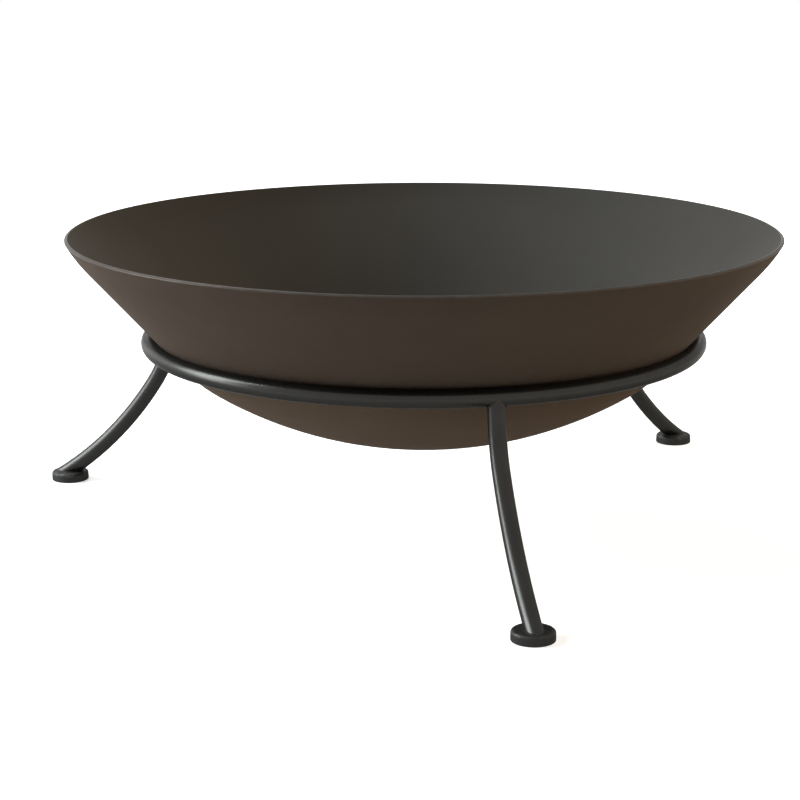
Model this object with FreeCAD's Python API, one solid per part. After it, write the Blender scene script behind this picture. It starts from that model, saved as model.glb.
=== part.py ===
import FreeCAD, Part
import math
import os

# A fire bowl resting in a bar ring on three swept legs with disc feet.
# Lengths are millimetres, angles degrees. The origin is on the floor under the
# middle of the bowl, +Z is up and the front leg points to -Y.

# Bowl: a round bottom, a knuckle, a conical wall and an upper stretch that
# steepens to the rim, where the sheet is cut square
RIM_RADIUS = 300.0
RIM_ANGLE = 60.5
UPPER_RADIUS = 120.0
WALL_ANGLE = 48.0
CONE_END_RADIUS = 209.0
KNUCKLE_RADIUS = 110.0
DISH_DEPTH = 73.7
SHEET = 3.0
RIM_ROUND = 0.6

# Stand
BAR_DIAMETER = 14.0
RING_RADIUS = 232.4
RING_HEIGHT = 154.2
SEAT_CLEARANCE = 0.3
COPE_DEPTH = 3.0

# Legs: straight under the ring, a bend, then one long sweep to the foot
LEG_SPREAD = 104.8
LEG_TOP_ANGLE = 81.0
LEG_STRAIGHT = 19.0
BEND_RADIUS = 95.0
SWEEP_TURN = 22.7
LEG_AZIMUTHS = {"front": -90.0, "right": 30.0, "left": 150.0}

# Feet: each leg comes down on its disc a little outside the disc's middle,
# and the flat top leaves a narrow ledge round the leg's slanted end
FOOT_OUTSET = 1.1
FOOT_LEDGE = 0.5
FOOT_THICKNESS = 8.0
FOOT_TOP_ROUND = 2.5
FOOT_BASE_ROUND = 0.4

# Welds
RING_WELD = 1.2
FOOT_WELD = 1.0
WELD_ROOT = 0.3

# A round takes at most this share of the wall that it is on
ROUND_SHARE = 0.45

# Lengths below this count as nothing
TINY = 0.001

BAR_RADIUS = BAR_DIAMETER / 2
FOOT_CIRCLE_RADIUS = RING_RADIUS + LEG_SPREAD
LEG_RUN_ON = 2 * BAR_DIAMETER
UP = FreeCAD.Vector(0, 0, 1)
ORIGIN = FreeCAD.Vector(0, 0, 0)


def at(radius, height):
    """A point in the upright plane through the axis and +X."""
    return FreeCAD.Vector(radius, 0, height)


def polar(centre, radius, degrees):
    """A point on a circle in that plane, by its angle above +X."""
    angle = math.radians(degrees)
    return centre + at(radius * math.cos(angle), radius * math.sin(angle))


def arc(centre, radius, start, end):
    """An arc in that plane from one angle to another."""
    middle = (start + end) / 2
    points = [polar(centre, radius, degrees) for degrees in (start, middle, end)]
    return Part.Arc(*points).toShape()


def line(start, end):
    return Part.LineSegment(start, end).toShape()


def slab(low, high):
    """A level layer of space, wide enough for the whole object."""
    reach = 2 * (RIM_RADIUS + FOOT_CIRCLE_RADIUS)
    corner = FreeCAD.Vector(-reach, -reach, low)
    return Part.makeBox(2 * reach, 2 * reach, high - low, corner)


class BowlSection:
    """The bowl's outer line: crown, knuckle, cone and upper stretch, each tangent to the next.

    Heights count from the underside of the bowl. Every arc keeps its centre when
    the line is moved out or in, so an offset only changes the radii.
    """

    def __init__(self):
        self.normal = WALL_ANGLE - 90.0
        self.rim_normal = RIM_ANGLE - 90.0
        cone_end = at(CONE_END_RADIUS, DISH_DEPTH)
        self.knuckle_centre = polar(cone_end, -KNUCKLE_RADIUS, self.normal)
        self.crown_radius = self.find_crown_radius()
        self.crown_centre = at(0, self.crown_radius)
        reach = self.knuckle_centre - self.crown_centre
        self.crown_end = math.degrees(math.atan2(reach.z, reach.x))
        level = polar(at(RIM_RADIUS, 0), -UPPER_RADIUS, self.rim_normal)
        cone_top = polar(level, UPPER_RADIUS, self.normal)
        climb = (cone_top.x - cone_end.x) * math.tan(math.radians(WALL_ANGLE))
        self.upper_centre = level + at(0, cone_end.z + climb - cone_top.z)
        self.rim_outer = polar(self.upper_centre, UPPER_RADIUS, self.rim_normal)
        self.rim_inner = polar(self.upper_centre, UPPER_RADIUS - SHEET, self.rim_normal)

    def find_crown_radius(self):
        """The radius of the one round bottom that runs smoothly into the knuckle."""
        centre = self.knuckle_centre
        spread = centre.x ** 2 + centre.z ** 2 - KNUCKLE_RADIUS ** 2
        return spread / (2 * (centre.z - KNUCKLE_RADIUS))

    def edges(self, offset):
        """The line moved outwards by offset, from the axis to the rim."""
        knuckle = KNUCKLE_RADIUS + offset
        upper = UPPER_RADIUS + offset
        cone_low = polar(self.knuckle_centre, knuckle, self.normal)
        cone_high = polar(self.upper_centre, upper, self.normal)
        return [
            arc(self.crown_centre, self.crown_radius + offset, -90.0, self.crown_end),
            arc(self.knuckle_centre, knuckle, self.crown_end, self.normal),
            line(cone_low, cone_high),
            arc(self.upper_centre, upper, self.normal, self.rim_normal),
        ]

    def height_at(self, radius, offset):
        """Height of the moved line at a radius, for what rests against the bowl."""
        cone_low = polar(self.knuckle_centre, KNUCKLE_RADIUS + offset, self.normal)
        cone_high = polar(self.upper_centre, UPPER_RADIUS + offset, self.normal)
        crown_edge = polar(self.crown_centre, self.crown_radius + offset, self.crown_end)
        if cone_low.x <= radius <= cone_high.x:
            return cone_low.z + (radius - cone_low.x) * math.tan(math.radians(WALL_ANGLE))
        if radius > cone_high.x:
            centre, reach = self.upper_centre, UPPER_RADIUS + offset
        elif radius >= crown_edge.x:
            centre, reach = self.knuckle_centre, KNUCKLE_RADIUS + offset
        else:
            centre, reach = self.crown_centre, self.crown_radius + offset
        return centre.z - math.sqrt(reach ** 2 - (radius - centre.x) ** 2)


class LegLine:
    """The middle line of a leg in its upright plane, from the ring's middle to past the foot's top."""

    def __init__(self):
        self.top = at(RING_RADIUS, RING_HEIGHT)
        self.top_way = polar(ORIGIN, 1.0, -LEG_TOP_ANGLE)
        self.bend_start = self.top + self.top_way * LEG_STRAIGHT
        self.bend_centre = polar(self.bend_start, BEND_RADIUS, 90.0 - LEG_TOP_ANGLE)
        self.foot = at(FOOT_CIRCLE_RADIUS + FOOT_OUTSET, FOOT_THICKNESS)
        chord_angle = self.find_chord_angle()
        self.bend_end_angle = chord_angle + SWEEP_TURN / 2
        self.slope = chord_angle - SWEEP_TURN / 2
        bend_end = polar(self.bend_centre, BEND_RADIUS, 270.0 - self.bend_end_angle)
        chord = self.foot - bend_end
        self.sweep_radius = chord.Length / (2 * math.sin(math.radians(SWEEP_TURN / 2)))
        self.sweep_centre = polar(bend_end, self.sweep_radius, 90.0 - self.bend_end_angle)
        self.end_reach = BAR_RADIUS / math.sin(math.radians(self.slope))

    def find_chord_angle(self):
        """Slope of the line from the bend's end to the foot, where the sweep turns by its set angle."""
        reach = self.foot - self.bend_centre
        share = BEND_RADIUS * math.cos(math.radians(SWEEP_TURN / 2)) / reach.Length
        return math.degrees(math.atan2(reach.x, reach.z) - math.acos(-share))

    def wire(self):
        """Straight, bend and sweep, run on below the foot's top so that the end can be cut level."""
        extra = math.degrees(LEG_RUN_ON / self.sweep_radius)
        turn = 270.0 - self.bend_end_angle
        bend = arc(self.bend_centre, BEND_RADIUS, 270.0 - LEG_TOP_ANGLE, turn)
        sweep = arc(self.sweep_centre, self.sweep_radius, turn, turn + SWEEP_TURN + extra)
        return Part.Wire([line(self.top, self.bend_start), bend, sweep])


def make_bowl(section, base_height):
    outer = section.edges(0.0)
    inner = section.edges(-SHEET)
    rim = line(section.rim_outer, section.rim_inner)
    axis = line(at(0, SHEET), at(0, 0))
    outline = Part.Wire(Part.sortEdges(outer + [rim] + inner + [axis])[0])
    bowl = Part.Face(outline).revolve(ORIGIN, UP, 360.0)
    corners = (section.rim_outer.z, section.rim_inner.z)
    rim_edges = [edge for edge in bowl.Edges if any(is_level_circle(edge, z) for z in corners)]
    bowl = bowl.makeFillet(min(RIM_ROUND, ROUND_SHARE * SHEET), rim_edges)
    bowl.translate(at(0, base_height))
    return bowl


def is_level_circle(edge, height):
    """True for an edge that lies all round in one level plane."""
    box = edge.BoundBox
    level = box.ZLength < TINY and abs(box.ZMin - height) < TINY
    return level and min(box.XLength, box.YLength) > TINY


def make_ring():
    return Part.makeTorus(RING_RADIUS, BAR_RADIUS, at(0, RING_HEIGHT), UP)


def make_leg(leg_line, ring):
    """A bent bar, coped to seat the ring at its top and cut level on the foot."""
    profile = Part.Wire(Part.makeCircle(BAR_RADIUS, leg_line.top, leg_line.top_way))
    bar = leg_line.wire().makePipeShell([profile], True, False)
    cope_top = RING_HEIGHT - BAR_RADIUS + COPE_DEPTH
    return bar.common(slab(FOOT_THICKNESS, cope_top)).cut(ring)


def foot_top_radius(leg_line):
    """Radius of the foot's flat top, which carries the leg's slanted end."""
    return leg_line.end_reach + FOOT_OUTSET + FOOT_LEDGE


def make_foot(leg_line):
    base = at(FOOT_CIRCLE_RADIUS, 0)
    radius = foot_top_radius(leg_line) + FOOT_TOP_ROUND
    disc = Part.makeCylinder(radius, FOOT_THICKNESS, base, UP)
    rounds = {FOOT_THICKNESS: FOOT_TOP_ROUND, 0.0: FOOT_BASE_ROUND}
    for height, size in rounds.items():
        edges = [edge for edge in disc.Edges if is_level_circle(edge, height)]
        disc = disc.makeFillet(min(size, ROUND_SHARE * FOOT_THICKNESS), edges)
    return disc


def make_ring_weld(leg_line, ring, leg):
    """Weld metal in the corner between the ring's underside and the leg."""
    toe = leg_line.top + leg_line.top_way * (BAR_RADIUS + RING_WELD)
    height = RING_WELD + COPE_DEPTH
    root = BAR_RADIUS - WELD_ROOT
    flare = Part.makeCone(root, root + WELD_ROOT + height, height, toe, leg_line.top_way * -1)
    skin = Part.makeTorus(RING_RADIUS, BAR_RADIUS + RING_WELD, at(0, RING_HEIGHT), UP)
    return flare.common(skin).cut(ring).cut(leg)


def make_foot_weld(leg_line, leg):
    """Weld metal round the leg's slanted end on top of the foot."""
    lean = FOOT_WELD / math.tan(math.radians(leg_line.slope))
    sections = []
    for height, grow, shift in ((0.0, FOOT_WELD, 0.0), (FOOT_WELD, -WELD_ROOT, -lean)):
        centre = leg_line.foot + at(shift, height)
        ellipse = Part.Ellipse(centre, leg_line.end_reach + grow, BAR_RADIUS + grow)
        sections.append(Part.Wire(ellipse.toShape()))
    collar = Part.makeLoft(sections, True, True)
    top = at(FOOT_CIRCLE_RADIUS, FOOT_THICKNESS)
    room = Part.makeCylinder(foot_top_radius(leg_line), 2 * FOOT_WELD, top, UP)
    return collar.common(room).cut(leg)


def single_solid(shape):
    """The one solid of a result, without a wrapping compound."""
    if len(shape.Solids) != 1:
        raise ValueError("expected one solid, found %d" % len(shape.Solids))
    return shape.Solids[0]


def main():
    section = BowlSection()
    leg_line = LegLine()
    base_height = RING_HEIGHT - section.height_at(RING_RADIUS, BAR_RADIUS + SEAT_CLEARANCE)
    ring = make_ring()
    leg = make_leg(leg_line, ring)
    side_pieces = {
        "leg": leg,
        "foot": make_foot(leg_line),
        "ring_weld": make_ring_weld(leg_line, ring, leg),
        "foot_weld": make_foot_weld(leg_line, leg),
    }
    nodes = {"fire_bowl": make_bowl(section, base_height), "support_ring": ring}
    for side, azimuth in LEG_AZIMUTHS.items():
        for name, piece in side_pieces.items():
            nodes[name + "_" + side] = piece.rotated(ORIGIN, UP, azimuth)
    os.makedirs("parts", exist_ok=True)
    for name, shape in nodes.items():
        single_solid(shape).exportStep("parts/" + name + ".step")
    print("rim height", round(base_height + section.rim_inner.z, 2), "bowl underside", round(base_height, 2))
    print("bowl depth", round(section.rim_inner.z, 2), "crown radius", round(section.crown_radius, 2))
    print("leg sweep radius", round(leg_line.sweep_radius, 2), "bend end", round(leg_line.bend_end_angle, 2))
    print("slope at the foot", round(leg_line.slope, 2), "foot top", round(foot_top_radius(leg_line), 2))


main()
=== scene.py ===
import math

import bmesh
import bpy
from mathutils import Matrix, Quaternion, Vector


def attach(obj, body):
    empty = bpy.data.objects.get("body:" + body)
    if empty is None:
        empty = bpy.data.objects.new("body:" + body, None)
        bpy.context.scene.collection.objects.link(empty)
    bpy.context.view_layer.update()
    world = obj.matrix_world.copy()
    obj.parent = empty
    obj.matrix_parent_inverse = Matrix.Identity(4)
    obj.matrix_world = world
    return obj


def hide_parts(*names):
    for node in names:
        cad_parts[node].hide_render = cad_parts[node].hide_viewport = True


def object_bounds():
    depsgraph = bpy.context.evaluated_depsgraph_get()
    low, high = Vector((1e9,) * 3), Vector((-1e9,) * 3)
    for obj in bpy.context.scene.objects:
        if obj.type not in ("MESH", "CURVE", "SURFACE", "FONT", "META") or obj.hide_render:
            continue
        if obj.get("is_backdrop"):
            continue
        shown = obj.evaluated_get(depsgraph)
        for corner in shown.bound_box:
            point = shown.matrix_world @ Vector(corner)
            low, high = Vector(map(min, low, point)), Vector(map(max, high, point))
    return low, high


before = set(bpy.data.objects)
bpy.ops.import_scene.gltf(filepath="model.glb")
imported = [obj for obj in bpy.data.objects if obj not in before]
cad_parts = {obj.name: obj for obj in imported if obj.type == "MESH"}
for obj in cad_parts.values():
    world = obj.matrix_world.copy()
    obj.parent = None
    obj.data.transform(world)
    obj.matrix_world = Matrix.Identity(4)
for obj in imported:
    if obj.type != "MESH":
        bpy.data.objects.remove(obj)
cad_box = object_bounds()

# A steel fire bowl resting in a bar ring on three swept legs with disc feet.
# Lengths are metres, angles degrees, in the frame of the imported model.

# Bowl
RIM_RADIUS = 0.300
RIM_ANGLE = 60.5
UPPER_RADIUS = 0.120
WALL_ANGLE = 48.0
CONE_END_RADIUS = 0.209
KNUCKLE_RADIUS = 0.110
DISH_DEPTH = 0.0737
SHEET = 0.003
RIM_ROUND = 0.0006
BOWL_UNDERSIDE = 0.06495

# Stand
BAR_RADIUS = 0.007
RING_RADIUS = 0.2324
RING_HEIGHT = 0.1542
LEG_SPREAD = 0.1048
LEG_TOP_ANGLE = 81.0
LEG_STRAIGHT = 0.019
BEND_RADIUS = 0.095
SWEEP_TURN = 22.7
LEG_AZIMUTHS = {"front": -90.0, "right": 30.0, "left": 150.0}

# Feet
FOOT_OUTSET = 0.0011
FOOT_RADIUS = 0.01655
FOOT_THICKNESS = 0.008
FOOT_TOP_ROUND = 0.0025
FOOT_BASE_ROUND = 0.0004

# Weld beads, the last four as shares of a bead's width or in steps along it
RING_WELD = 0.0012
FOOT_WELD = 0.0010
WELD_SINK = 0.0003
WELD_RIPPLE = 0.10
WELD_SWELL = 0.18
WELD_LEAST_SHARE = 0.12
WELD_RIPPLE_STEPS = 4.0

# Mesh fineness, in steps
ROUND_STEPS = 256
CROWN_STEPS = 26
KNUCKLE_STEPS = 10
CONE_STEPS = 14
UPPER_STEPS = 10
RIM_STEPS = 5
BAR_STEPS = 48
LEG_STEPS = 72
FOOT_STEPS = 96
FOOT_ROUND_STEPS = 8
BEAD_STEPS = 96
BEAD_FACE_STEPS = 4

# Rows of points near a foot's rounds, so that its faces look flat: a length, shares of radii
FOOT_SIDE_ROW = 0.0004
FOOT_BASE_ROWS = (0.0, 0.6, 0.97)
FOOT_TOP_ROWS = (0.97, 0.5, 0.0)

# Each round of the rim starts this far past the wall's last point
RIM_LEAD = 15.0

# A profile point nearer the axis than this is on it
ON_AXIS = 1e-6

# Finding a bar's ends: reach of the search, its halvings, and a short step along the bar
END_REACH = 3 * BAR_RADIUS
HALVINGS = 40
NUDGE = BAR_RADIUS / 10

# Colours, where a pair is the two ends of a faint mottling
WALL_TONES = (0.0630, 0.0442, 0.0330), (0.0680, 0.0482, 0.0360)
# The dish's pair is lighter and warmer than the wall's: painted bounce light from the floor on the
# bowl's underside
DISH_BOUNCE_TONES = (0.083, 0.0545, 0.0368), (0.089, 0.059, 0.040)
# The inside pair is the brown coating greyed and cooled by a painted sheen of cool light
INSIDE_COAT_AND_SHEEN_TONES = (0.0612, 0.0553, 0.0490), (0.0652, 0.0583, 0.0513)
GRAIN_TONE = (0.110, 0.095, 0.080)
RIM_TONE = (0.085, 0.080, 0.075)
BAR_TONES = (0.039, 0.037, 0.034), (0.043, 0.041, 0.038)
FLECK_TONE = (0.08, 0.08, 0.077)
DISC_TONES = (0.042, 0.041, 0.038), (0.048, 0.047, 0.044)
DISC_RUB_TONE = (0.15, 0.15, 0.147)

# The dish's lighter, warmer tone, painted bounce light from the floor, comes in over this height
# below the top of the ring
DISH_BOUNCE_FADE = 0.02

# The rubbed rim against the coating round it
RIM_ROUGHNESS_CHANGE = -0.50
RIM_METAL = 0.35

# Noise from 0 to 1 seldom leaves this range
NOISE_SPAN = (0.3, 0.7)

# A Mix node's colour sockets share their names with others, so they go by number
MIX_COLOURS_IN = (6, 7)
MIX_COLOUR_OUT = 2

# Camera, at the photograph's viewing angle
CAMERA_AT = (-0.40815, -1.69212, 0.51904)
CAMERA_HEADING = 77.099
CAMERA_PITCH = -13.614
CAMERA_ROLL = -0.080
CAMERA_LENS = 93.699
CAMERA_SENSOR = 36.0

# Floor: its tones, and the glow that rises from a level to 1 over a span of distances
FLOOR_SIZE = 12.0
FLOOR_HEIGHT = -0.0002
FLOOR_TONE = 0.86
FLOOR_GLOW_SPAN = (0.5, 1.2)
FLOOR_GLOW_LOW = 0.62
# In reflections the floor's glow is dimmer near its middle, a painted shadow under the object
MIRRORED_TONE = 0.30
MIRRORED_GLOW_SPAN = (0.3, 1.0)
MIRRORED_GLOW_LOW = 0.42

# World and lamps
WHITE = (1.0, 1.0, 1.0)
COOL = (0.85, 0.95, 1.0)
WARM = (1.0, 0.90, 0.70)
SOFT_TONE = (0.95, 0.97, 1.0)
SOFT_LEVEL = 0.03
LAMP_DISTANCE = 2.2
MATTE, GLOSS, BOTH = {"diffuse"}, {"glossy"}, {"diffuse", "glossy"}

# Each lamp's name, turn to the left of the camera's side, elevation, size, watts, colour
# and the kinds of reflection that it lights
LAMPS = [
    ("left_softbox", 95.0, 27.0, (1.0, 1.45), 82.0, COOL, BOTH),
    ("left_low", 86.0, 3.0, (0.9, 0.45), 13.0, COOL, GLOSS),
    ("left_back", 130.0, 7.0, (1.2, 0.9), 8.5, WHITE, BOTH),
    ("high_back", 150.0, 43.0, (0.7, 0.6), 7.0, WHITE, BOTH),
    ("rim_glint", 150.0, 43.0, (0.7, 0.6), 12.0, WHITE, GLOSS),
    ("back_fill", 180.0, 30.0, (2.0, 1.6), 13.0, WHITE, BOTH),
    ("right_fill", -95.0, 24.0, (2.6, 1.0), 45.0, WARM, MATTE),
    ("front_fill", 56.0, 12.0, (1.6, 1.0), 5.0, WHITE, MATTE),
]


def at(radius, height):
    """A point in the upright plane through the axis and +X."""
    return Vector((radius, 0.0, height))


def polar(centre, radius, degrees):
    """A point on a circle in that plane, by its angle above +X."""
    angle = math.radians(degrees)
    return centre + at(radius * math.cos(angle), radius * math.sin(angle))


def arc(centre, radius, start, end, steps):
    """Points along an arc in that plane, both ends included."""
    return [polar(centre, radius, start + (end - start) * i / steps) for i in range(steps + 1)]


def turned(point, degrees):
    """The point turned about the axis."""
    angle = math.radians(degrees)
    c, s = math.cos(angle), math.sin(angle)
    return Vector((point.x * c - point.y * s, point.x * s + point.y * c, point.z))


def direction(heading, elevation):
    """A unit vector, by its angle about the axis from +X and its angle above the floor."""
    turn, rise = math.radians(heading), math.radians(elevation)
    level = math.cos(rise)
    return Vector((math.cos(turn) * level, math.sin(turn) * level, math.sin(rise)))


def facing(way, guide):
    """The way or its opposite, whichever goes along with the guide."""
    return -way if way.dot(guide) < 0.0 else way


def new_piece(name, bm, body, node, material):
    """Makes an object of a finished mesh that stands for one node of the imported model."""
    bmesh.ops.recalc_face_normals(bm, faces=bm.faces)
    mesh = bpy.data.meshes.new(name)
    bm.to_mesh(mesh)
    bm.free()
    mesh.shade_smooth()
    piece = bpy.data.objects.new(name, mesh)
    bpy.context.scene.collection.objects.link(piece)
    mesh.materials.append(material)
    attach(piece, body)
    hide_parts(node)


def bridge(bm, low, high):
    """Joins two rings with faces. Either ring may be a single vertex."""
    count = max(len(low), len(high))
    for k in range(count):
        n = (k + 1) % count
        corners = [low[k % len(low)], low[n % len(low)], high[n % len(high)], high[k % len(high)]]
        bm.faces.new(list(dict.fromkeys(corners)))


def bridge_closed(bm, rings):
    """Joins each ring to the next, and the last to the first."""
    for ring, following in zip(rings, rings[1:] + rings[:1]):
        bridge(bm, ring, following)


def lathe(profile, steps, marks):
    """Turns a profile about the axis. A point on the axis becomes one vertex.

    marks holds (name, values) pairs, one value for each profile point, kept as vertex values.
    """
    bm = bmesh.new()
    layers = [(bm.verts.layers.float.new(name), values) for name, values in marks]
    rings = []
    for i, point in enumerate(profile):
        count = steps if point.x > ON_AXIS else 1
        ring = [bm.verts.new(turned(point, 360.0 * k / steps)) for k in range(count)]
        for layer, values in layers:
            for vert in ring:
                vert[layer] = values[i]
        rings.append(ring)
    for low, high in zip(rings, rings[1:]):
        bridge(bm, low, high)
    return bm


class BowlSection:
    """The bowl's outer line: crown, knuckle, cone and upper stretch, each tangent to the next.

    Heights are from the bowl's underside.
    """

    def __init__(self):
        self.normal = WALL_ANGLE - 90.0
        self.rim_normal = RIM_ANGLE - 90.0
        cone_end = at(CONE_END_RADIUS, DISH_DEPTH)
        self.knuckle_centre = polar(cone_end, -KNUCKLE_RADIUS, self.normal)
        centre = self.knuckle_centre
        spread = centre.x ** 2 + centre.z ** 2 - KNUCKLE_RADIUS ** 2
        self.crown_radius = spread / (2 * (centre.z - KNUCKLE_RADIUS))
        self.crown_centre = at(0.0, self.crown_radius)
        reach = self.knuckle_centre - self.crown_centre
        self.crown_end = math.degrees(math.atan2(reach.z, reach.x))
        level = polar(at(RIM_RADIUS, 0.0), -UPPER_RADIUS, self.rim_normal)
        cone_top = polar(level, UPPER_RADIUS, self.normal)
        climb = (cone_top.x - cone_end.x) * math.tan(math.radians(WALL_ANGLE))
        self.upper_centre = level + at(0.0, cone_end.z + climb - cone_top.z)

    def line(self, offset):
        """Points from the axis to just under the rim's round, moved outwards by offset."""
        crown = self.crown_radius + offset
        knuckle = KNUCKLE_RADIUS + offset
        upper = UPPER_RADIUS + offset
        upper_end = self.rim_normal - math.degrees(RIM_ROUND / upper)
        base = arc(self.crown_centre, crown, -90.0, self.crown_end, CROWN_STEPS)
        bend = arc(self.knuckle_centre, knuckle, self.crown_end, self.normal, KNUCKLE_STEPS)
        top = arc(self.upper_centre, upper, self.normal, upper_end, UPPER_STEPS)
        cone = [bend[-1].lerp(top[0], k / CONE_STEPS) for k in range(1, CONE_STEPS)]
        return base + bend[1:] + cone + top

    def rim(self):
        """Points over the square-cut rim, from the outer round to the inner one."""
        out = self.rim_normal
        along = out + 90.0
        back = polar(Vector(), RIM_ROUND, along)
        outer = polar(self.upper_centre, UPPER_RADIUS - RIM_ROUND, out) - back
        inner = polar(self.upper_centre, UPPER_RADIUS - SHEET + RIM_ROUND, out) - back
        rise = arc(outer, RIM_ROUND, out + RIM_LEAD, along, RIM_STEPS)
        fall = arc(inner, RIM_ROUND, along, out + 180.0 - RIM_LEAD, RIM_STEPS)
        return rise + fall


def make_bowl(material):
    """The bowl's shell, with vertex values for its inside, its rubbed rim and its low outside,
    which takes painted bounce light.
    """
    section = BowlSection()
    outer = section.line(0.0)
    rim = section.rim()
    inner = section.line(-SHEET)[::-1]
    half = len(rim) // 2
    ring_top = RING_HEIGHT + BAR_RADIUS - BOWL_UNDERSIDE
    # low is 1 on the outside below the ring's top, where the coating paints bounce light from the
    # floor
    low = [min(1.0, max(0.0, (ring_top - point.z) / DISH_BOUNCE_FADE)) for point in outer]
    marks = [
        ("inside", [0.0] * (len(outer) + half) + [1.0] * (half + len(inner))),
        ("worn", [0.0] * len(outer) + [1.0] * len(rim) + [0.0] * len(inner)),
        ("low", low + [0.0] * (len(rim) + len(inner))),
    ]
    lift = at(0.0, BOWL_UNDERSIDE)
    bm = lathe([point + lift for point in outer + rim + inner], ROUND_STEPS, marks)
    new_piece("bowl_shell", bm, "bowl", "fire_bowl", material)


def make_ring(material):
    """The bar ring that carries the bowl."""
    bm = bmesh.new()
    centre = at(RING_RADIUS, RING_HEIGHT)
    section = [polar(centre, BAR_RADIUS, 360.0 * i / BAR_STEPS) for i in range(BAR_STEPS)]
    rings = []
    for k in range(ROUND_STEPS):
        around = 360.0 * k / ROUND_STEPS
        rings.append([bm.verts.new(turned(point, around)) for point in section])
    bridge_closed(bm, rings)
    new_piece("ring_bar", bm, "stand", "support_ring", material)


class LegLine:
    """The middle line of a leg in its upright plane: straight, bend and sweep, by its length."""

    def __init__(self):
        self.top = at(RING_RADIUS, RING_HEIGHT)
        bend_start = polar(self.top, LEG_STRAIGHT, -LEG_TOP_ANGLE)
        self.bend_centre = polar(bend_start, BEND_RADIUS, 90.0 - LEG_TOP_ANGLE)
        self.foot = at(RING_RADIUS + LEG_SPREAD + FOOT_OUTSET, FOOT_THICKNESS)
        reach = self.foot - self.bend_centre
        share = BEND_RADIUS * math.cos(math.radians(SWEEP_TURN / 2)) / reach.length
        chord_angle = math.degrees(math.atan2(reach.x, reach.z) - math.acos(-share))
        self.bend_end_angle = chord_angle + SWEEP_TURN / 2
        bend_end = polar(self.bend_centre, BEND_RADIUS, 270.0 - self.bend_end_angle)
        chord = self.foot - bend_end
        self.sweep_radius = chord.length / (2 * math.sin(math.radians(SWEEP_TURN / 2)))
        self.sweep_centre = polar(bend_end, self.sweep_radius, 90.0 - self.bend_end_angle)
        self.bend_length = BEND_RADIUS * math.radians(LEG_TOP_ANGLE - self.bend_end_angle)
        sweep_length = self.sweep_radius * math.radians(SWEEP_TURN)
        self.length = LEG_STRAIGHT + self.bend_length + sweep_length

    def at_length(self, length):
        """The point at a length from the top, and the slope there."""
        if length <= LEG_STRAIGHT:
            return polar(self.top, length, -LEG_TOP_ANGLE), LEG_TOP_ANGLE
        length -= LEG_STRAIGHT
        if length <= self.bend_length:
            slope = LEG_TOP_ANGLE - math.degrees(length / BEND_RADIUS)
            return polar(self.bend_centre, BEND_RADIUS, 270.0 - slope), slope
        length -= self.bend_length
        slope = self.bend_end_angle - math.degrees(length / self.sweep_radius)
        return polar(self.sweep_centre, self.sweep_radius, 270.0 - slope), slope

    def skin(self, length, around):
        """A point on the bar's surface, by length and by the angle round the bar."""
        centre, slope = self.at_length(length)
        angle = math.radians(around)
        outward = polar(Vector(), 1.0, 90.0 - slope)
        sideways = Vector((0.0, 1.0, 0.0))
        return centre + BAR_RADIUS * (math.cos(angle) * outward + math.sin(angle) * sideways)

    def top_end(self, around):
        """The length at which a line along the bar leaves the ring."""
        return crossing(lambda s: ring_gap(self.skin(s, around)), 0.0, LEG_STRAIGHT)

    def foot_end(self, around):
        """The length at which a line along the bar meets the foot."""
        low, high = self.length - END_REACH, self.length + END_REACH
        return crossing(lambda s: FOOT_THICKNESS - self.skin(s, around).z, low, high)


def ring_gap(point):
    """Distance of a point from the ring's surface, negative inside the bar."""
    out = math.hypot(point.x, point.y) - RING_RADIUS
    return math.hypot(out, point.z - RING_HEIGHT) - BAR_RADIUS


def crossing(function, low, high):
    """Where a rising function passes zero, by halving."""
    for _ in range(HALVINGS):
        middle = (low + high) / 2
        if function(middle) < 0.0:
            low = middle
        else:
            high = middle
    return (low + high) / 2


def make_leg(side, line, material):
    """A bent bar, coped to the ring at its top and cut level on the foot."""
    bm = bmesh.new()
    arounds = [360.0 * i / BAR_STEPS for i in range(BAR_STEPS)]
    stretches = [(around, line.top_end(around), line.foot_end(around)) for around in arounds]
    rings = []
    for k in range(LEG_STEPS + 1):
        ring = []
        for around, top, foot in stretches:
            point = line.skin(top + (foot - top) * k / LEG_STEPS, around)
            ring.append(bm.verts.new(turned(point, LEG_AZIMUTHS[side])))
        rings.append(ring)
    for upper, lower in zip(rings, rings[1:]):
        bridge(bm, upper, lower)
    for ring in (rings[0], rings[-1]):
        middle = sum((vert.co for vert in ring), Vector()) / len(ring)
        bridge(bm, [bm.verts.new(middle)], ring)
        for pair in zip(ring, ring[1:] + ring[:1]):
            bm.edges.get(pair).smooth = False
    new_piece("leg_bar_" + side, bm, "stand", "leg_" + side, material)


def make_foot(side, material):
    """A thick disc with rounded edges, the upper one worn."""
    side_top = FOOT_THICKNESS - FOOT_TOP_ROUND
    base = FOOT_RADIUS - FOOT_BASE_ROUND
    ledge = FOOT_RADIUS - FOOT_TOP_ROUND
    lower = [at(base * share, 0.0) for share in FOOT_BASE_ROWS]
    lower += arc(at(base, FOOT_BASE_ROUND), FOOT_BASE_ROUND, -90.0, 0.0, FOOT_ROUND_STEPS)
    lower += [at(FOOT_RADIUS, FOOT_BASE_ROUND + FOOT_SIDE_ROW)]
    lower += [at(FOOT_RADIUS, side_top - FOOT_SIDE_ROW)]
    edge = arc(at(ledge, side_top), FOOT_TOP_ROUND, 0.0, 90.0, FOOT_ROUND_STEPS)
    upper = [at(ledge * share, FOOT_THICKNESS) for share in FOOT_TOP_ROWS]
    worn = [0.0] * len(lower) + [1.0] * len(edge) + [0.0] * len(upper)
    bm = lathe(lower + edge + upper, FOOT_STEPS, [("worn", worn)])
    shift = turned(at(RING_RADIUS + LEG_SPREAD, 0.0), LEG_AZIMUTHS[side])
    bmesh.ops.translate(bm, vec=shift, verts=bm.verts)
    new_piece("foot_disc_" + side, bm, "stand", "foot_" + side, material)


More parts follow.
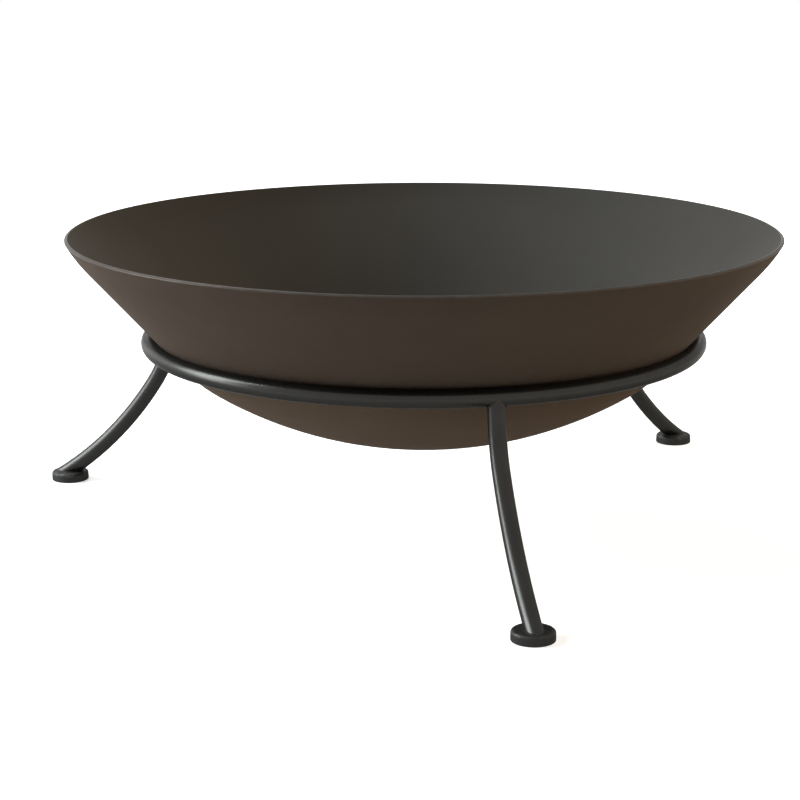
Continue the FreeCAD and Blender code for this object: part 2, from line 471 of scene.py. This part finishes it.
def make_bead(name, node, side, corners, material):
    """A rippled weld bead along a closed corner line.

    corners holds for each step a point, the way along one wall, the way along the other
    and the bead's width.
    """
    bm = bmesh.new()
    rings = []
    for k, (point, one, other, width) in enumerate(corners):
        between = (one + other).normalized()
        size = width * (1.0 + WELD_RIPPLE * math.sin(math.tau * k / WELD_RIPPLE_STEPS))
        section = [point - between * WELD_SINK]
        for i in range(BEAD_FACE_STEPS + 1):
            t = i / BEAD_FACE_STEPS
            swell = WELD_SWELL * size * math.sin(math.pi * t)
            section.append(point + size * ((1.0 - t) * one + t * other) + between * swell)
        rings.append([bm.verts.new(turned(p, LEG_AZIMUTHS[side])) for p in section])
    bridge_closed(bm, rings)
    new_piece(name, bm, "stand", node, material)


def round_end(line, end):
    """Walks round a bar's end: the angle, the length, the point and the way to the next point."""
    step = 360.0 / BEAD_STEPS
    for k in range(BEAD_STEPS):
        around = step * k
        length = end(around)
        point = line.skin(length, around)
        yield around, length, point, line.skin(end(around + step), around + step) - point


def make_ring_bead(side, line, material):
    """The bead in the corner between a leg and the ring's underside, widest at the leg's sides."""
    corners = []
    for around, top, point, along in round_end(line, line.top_end):
        down = (line.skin(top + NUDGE, around) - point).normalized()
        ring_middle = RING_RADIUS * Vector((point.x, point.y, 0.0)).normalized()
        ring_middle.z = RING_HEIGHT
        away = along.cross((point - ring_middle).normalized()).normalized()
        away = facing(away, point - line.at_length(top)[0])
        width = RING_WELD * max(WELD_LEAST_SHARE, abs(math.sin(math.radians(around))))
        corners.append((point, down, away, width))
    make_bead("ring_bead_" + side, "ring_weld_" + side, side, corners, material)


def make_foot_bead(side, line, material):
    """The bead round a leg's slanted end, kept on the flat top of its foot."""
    corners = []
    middle = at(RING_RADIUS + LEG_SPREAD, FOOT_THICKNESS)
    ledge = FOOT_RADIUS - FOOT_TOP_ROUND
    for around, foot, point, along in round_end(line, line.foot_end):
        up = (line.skin(foot - NUDGE, around) - point).normalized()
        away = facing(along.cross(Vector((0.0, 0.0, 1.0))).normalized(), point - line.foot)
        width = min(FOOT_WELD, ledge - (point - middle).length)
        corners.append((point, up, away, width))
    make_bead("foot_bead_" + side, "foot_weld_" + side, side, corners, material)


class Nodes:
    """Short calls for building one material's nodes."""

    def __init__(self, name):
        self.material = bpy.data.materials.new(name)
        self.material.use_nodes = True
        self.tree = self.material.node_tree
        self.shader = self.tree.nodes["Principled BSDF"]

    def add(self, kind, **values):
        """A node of that kind. A value that names a property is set on it, others on sockets."""
        node = self.tree.nodes.new(kind)
        for key, value in values.items():
            if hasattr(node, key):
                setattr(node, key, value)
            else:
                node.inputs[key.replace("_", " ").title()].default_value = value
        return node

    def feed(self, socket, value):
        """Gives a socket a colour, a number or another node's output."""
        if isinstance(value, tuple):
            socket.default_value = (*value, 1.0)
        elif isinstance(value, float):
            socket.default_value = value
        else:
            self.tree.links.new(value, socket)

    def set(self, name, value):
        """Feeds a socket of the material's shader."""
        self.feed(self.shader.inputs[name], value)

    def noise(self, cells, detail):
        """Noise of that many cells a metre, from 0 to 1."""
        place = self.add("ShaderNodeTexCoord").outputs["Object"]
        texture = self.add("ShaderNodeTexNoise", scale=cells, detail=detail)
        self.feed(texture.inputs["Vector"], place)
        return texture.outputs["Fac"]

    def ranged(self, value, between, to):
        """A value carried from one range to another, held at its ends."""
        node = self.add("ShaderNodeMapRange", from_min=between[0], from_max=between[1],
                        to_min=to[0], to_max=to[1])
        self.feed(node.inputs["Value"], value)
        return node.outputs["Result"]

    def varied(self, cells, detail, to):
        """Noise spread over a range."""
        return self.ranged(self.noise(cells, detail), NOISE_SPAN, to)

    def product(self, one, other):
        """Two values multiplied."""
        return self.math("MULTIPLY", one, other)

    def math(self, operation, one, other):
        """Two values put through a Math node."""
        node = self.add("ShaderNodeMath", operation=operation)
        self.feed(node.inputs[0], one)
        self.feed(node.inputs[1], other)
        return node.outputs["Value"]

    def mixed(self, share, one, other):
        """Two colours mixed by a value."""
        node = self.add("ShaderNodeMix", data_type="RGBA")
        self.feed(node.inputs["Factor"], share)
        for number, colour in zip(MIX_COLOURS_IN, (one, other)):
            self.feed(node.inputs[number], colour)
        return node.outputs[MIX_COLOUR_OUT]

    def kept(self, name):
        """A vertex value of the mesh."""
        return self.add("ShaderNodeAttribute", attribute_name=name).outputs["Fac"]

    def bump(self, height, strength, distance, under=None):
        """A bumped normal, on top of another one if that is given."""
        node = self.add("ShaderNodeBump", strength=strength, distance=distance)
        self.feed(node.inputs["Height"], height)
        if under is not None:
            self.feed(node.inputs["Normal"], under)
        return node.outputs["Normal"]

    def set_charcoal(self, colour, roughness, normal):
        """Sets the shader for paint that reflects by its own dark colour, even at a slant."""
        self.set("Base Color", colour)
        self.set("Roughness", roughness)
        self.set("Metallic", 0.8)
        self.set("Specular IOR Level", 0.0)
        self.set("Specular Tint", (0.55, 0.55, 0.55))
        self.set("Normal", normal)


def bowl_coating():
    """Matte coating: brown outside with painted bounce light on the dish, grey-brown inside where
    a painted cool sheen greys the brown, with fine grain and a rubbed rim.
    """
    n = Nodes("bowl_coating")
    cloud = n.ranged(n.noise(cells=7.0, detail=3.0), between=(0.35, 0.65), to=(0.0, 1.0))
    # The dish's tones paint bounce light from the floor onto the underside below the ring
    wall, dish, inside = (n.mixed(cloud, *t) for t in (WALL_TONES, DISH_BOUNCE_TONES, INSIDE_COAT_AND_SHEEN_TONES))
    # The inside's tone is the coating greyed by a painted cool sheen
    colour = n.mixed(n.kept("inside"), n.mixed(n.kept("low"), wall, dish), inside)
    grain = n.noise(cells=900.0, detail=2.0)
    colour = n.mixed(n.ranged(grain, between=(0.30, 0.75), to=(0.0, 0.08)), colour, GRAIN_TONE)
    worn = n.kept("worn")
    patches = n.ranged(n.noise(cells=130.0, detail=4.0), between=(0.40, 0.70), to=(0.2, 0.6))
    n.set("Base Color", n.mixed(n.product(worn, patches), colour, RIM_TONE))
    rough = n.varied(cells=26.0, detail=4.0, to=(0.80, 0.88))
    n.set("Roughness", n.math("ADD", rough, n.product(worn, RIM_ROUGHNESS_CHANGE)))
    n.set("Metallic", n.product(worn, RIM_METAL))
    n.set("Specular Tint", (0.4, 0.4, 0.4))
    n.set("Specular IOR Level", 0.05)
    peel = n.bump(n.noise(cells=520.0, detail=2.0), strength=0.25, distance=0.0004)
    n.set("Normal", n.bump(grain, strength=0.15, distance=0.0002, under=peel))
    return n.material


def bar_paint():
    """Satin charcoal paint on drawn bar, with small pale flecks."""
    n = Nodes("bar_paint")
    colour = n.mixed(n.varied(cells=30.0, detail=4.0, to=(0.0, 1.0)), *BAR_TONES)
    flecks = n.ranged(n.noise(cells=1100.0, detail=2.0), between=(0.55, 0.8), to=(0.0, 0.2))
    rough = n.varied(cells=45.0, detail=4.0, to=(0.26, 0.32))
    skin = n.bump(n.noise(cells=650.0, detail=2.0), strength=0.2, distance=0.0003)
    n.set_charcoal(n.mixed(flecks, colour, FLECK_TONE), rough, skin)
    return n.material


def foot_paint():
    """Matte charcoal paint on the discs, rubbed in patches along the worn edge."""
    n = Nodes("foot_paint")
    colour = n.mixed(n.varied(cells=80.0, detail=4.0, to=(0.0, 1.0)), *DISC_TONES)
    patches = n.ranged(n.noise(cells=260.0, detail=4.0), between=(0.52, 0.72), to=(0.0, 0.8))
    colour = n.mixed(n.product(n.kept("worn"), patches), colour, DISC_RUB_TONE)
    rough = n.varied(cells=120.0, detail=4.0, to=(0.50, 0.62))
    skin = n.bump(n.noise(cells=800.0, detail=3.0), strength=0.3, distance=0.0003)
    n.set_charcoal(colour, rough, skin)
    return n.material


def weld_paint():
    """The bars' paint over weld metal, a little rougher."""
    n = Nodes("weld_paint")
    colour = n.mixed(n.varied(cells=300.0, detail=3.0, to=(0.0, 1.0)), *BAR_TONES)
    rough = n.varied(cells=400.0, detail=3.0, to=(0.42, 0.55))
    skin = n.bump(n.noise(cells=900.0, detail=3.0), strength=0.35, distance=0.0003)
    n.set_charcoal(colour, rough, skin)
    return n.material


def shown_to(tree, rays, lit, shown):
    """Mixes two shaders of the stage: the second is what those kinds of ray meet."""
    path = tree.nodes.new("ShaderNodeLightPath")
    share = path.outputs[rays[0]]
    for ray in rays[1:]:
        most = tree.nodes.new("ShaderNodeMath")
        most.operation = "MAXIMUM"
        tree.links.new(share, most.inputs[0])
        tree.links.new(path.outputs[ray], most.inputs[1])
        share = most.outputs["Value"]
    mix = tree.nodes.new("ShaderNodeMixShader")
    tree.links.new(share, mix.inputs["Fac"])
    tree.links.new(lit, mix.inputs[1])
    tree.links.new(shown, mix.inputs[2])
    return mix.outputs["Shader"]


def diffuse(tree, level):
    """A plain matte grey."""
    node = tree.nodes.new("ShaderNodeBsdfDiffuse")
    node.inputs["Color"].default_value = (level, level, level, 1.0)
    return node.outputs["BSDF"]


def added(tree, one, other):
    """Two shaders added up."""
    node = tree.nodes.new("ShaderNodeAddShader")
    tree.links.new(one, node.inputs[0])
    tree.links.new(other, node.inputs[1])
    return node.outputs["Shader"]


def rising_glow(tree, reach, span, low):
    """White light that rises to full strength over a span of distances from the floor's middle."""
    rising = tree.nodes.new("ShaderNodeMapRange")
    ends = {"From Min": span[0], "From Max": span[1], "To Min": low, "To Max": 1.0}
    for key, value in ends.items():
        rising.inputs[key].default_value = value
    tree.links.new(reach, rising.inputs["Value"])
    glow = tree.nodes.new("ShaderNodeEmission")
    tree.links.new(rising.outputs["Result"], glow.inputs["Strength"])
    return glow.outputs["Emission"]


def floor_material():
    """Pale floor: white to the camera where it is lit, darker where the object shades it."""
    material = bpy.data.materials.new("floor")
    material.use_nodes = True
    tree = material.node_tree
    tree.nodes.remove(tree.nodes["Principled BSDF"])
    place = tree.nodes.new("ShaderNodeTexCoord")
    length = tree.nodes.new("ShaderNodeVectorMath")
    length.operation = "LENGTH"
    tree.links.new(place.outputs["Object"], length.inputs[0])
    reach = length.outputs["Value"]
    lit = diffuse(tree, FLOOR_TONE)
    seen = added(tree, lit, rising_glow(tree, reach, FLOOR_GLOW_SPAN, FLOOR_GLOW_LOW))
    # Reflections see a glow dimmed near the middle: a painted shadow under the object
    glow = rising_glow(tree, reach, MIRRORED_GLOW_SPAN, MIRRORED_GLOW_LOW)
    mirrored = added(tree, diffuse(tree, MIRRORED_TONE), glow)
    shader = shown_to(tree, ["Is Camera Ray"], lit, seen)
    shader = shown_to(tree, ["Is Glossy Ray", "Is Transmission Ray"], shader, mirrored)
    tree.links.new(shader, tree.nodes["Material Output"].inputs["Surface"])
    return material


def make_floor():
    """A plain square of floor under the object."""
    bm = bmesh.new()
    bmesh.ops.create_grid(bm, x_segments=1, y_segments=1, size=FLOOR_SIZE / 2)
    mesh = bpy.data.meshes.new("floor")
    bm.to_mesh(mesh)
    bm.free()
    mesh.materials.append(floor_material())
    floor = bpy.data.objects.new("floor", mesh)
    floor.location.z = FLOOR_HEIGHT
    bpy.context.scene.collection.objects.link(floor)
    floor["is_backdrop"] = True


def make_world():
    """White to the camera and in reflections, and a soft even light for the object."""
    world = bpy.data.worlds.new("studio")
    bpy.context.scene.world = world
    world.use_nodes = True
    tree = world.node_tree
    soft = tree.nodes["Background"]
    soft.inputs["Color"].default_value = (*SOFT_TONE, 1.0)
    soft.inputs["Strength"].default_value = SOFT_LEVEL
    white = tree.nodes.new("ShaderNodeBackground")
    white.inputs["Color"].default_value = (*WHITE, 1.0)
    rays = ["Is Camera Ray", "Is Glossy Ray", "Is Transmission Ray"]
    shader = shown_to(tree, rays, soft.outputs["Background"], white.outputs["Background"])
    tree.links.new(shader, tree.nodes["World Output"].inputs["Surface"])


def make_lamp(name, turn, elevation, size, power, colour, uses):
    """An area lamp aimed at the bowl, from a row of the table."""
    data = bpy.data.lights.new(name, "AREA")
    data.shape = "RECTANGLE"
    data.size, data.size_y = size
    data.energy = power
    data.color = colour
    way = direction(CAMERA_HEADING + 180.0 - turn, elevation)
    lamp = bpy.data.objects.new(name, data)
    lamp.location = at(0.0, RING_HEIGHT) + way * LAMP_DISTANCE
    lamp.rotation_mode = "QUATERNION"
    lamp.rotation_quaternion = (-way).to_track_quat("-Z", "Y")
    lamp.visible_diffuse = "diffuse" in uses
    lamp.visible_glossy = "glossy" in uses
    bpy.context.scene.collection.objects.link(lamp)


def make_camera():
    """The camera of the main render."""
    data = bpy.data.cameras.new("camera")
    data.sensor_width = CAMERA_SENSOR
    data.lens = CAMERA_LENS
    camera = bpy.data.objects.new("camera", data)
    forward = direction(CAMERA_HEADING, CAMERA_PITCH)
    roll = Quaternion((0.0, 0.0, 1.0), math.radians(CAMERA_ROLL))
    camera.location = CAMERA_AT
    camera.rotation_mode = "QUATERNION"
    camera.rotation_quaternion = forward.to_track_quat("-Z", "Y") @ roll
    bpy.context.scene.collection.objects.link(camera)
    bpy.context.scene.camera = camera


def make_object():
    """All pieces of the bowl and its stand."""
    coating, bars, discs, beads = bowl_coating(), bar_paint(), foot_paint(), weld_paint()
    make_bowl(coating)
    make_ring(bars)
    line = LegLine()
    for side in LEG_AZIMUTHS:
        make_leg(side, line, bars)
        make_foot(side, discs)
        make_ring_bead(side, line, beads)
        make_foot_bead(side, line, beads)


bpy.context.scene.view_settings.view_transform = "Standard"
make_object()
make_floor()
make_world()
for row in LAMPS:
    make_lamp(*row)
make_camera()

boxes = {"cad": cad_box, "visual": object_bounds()}
{name: [list(corner) for corner in box] for name, box in boxes.items()}
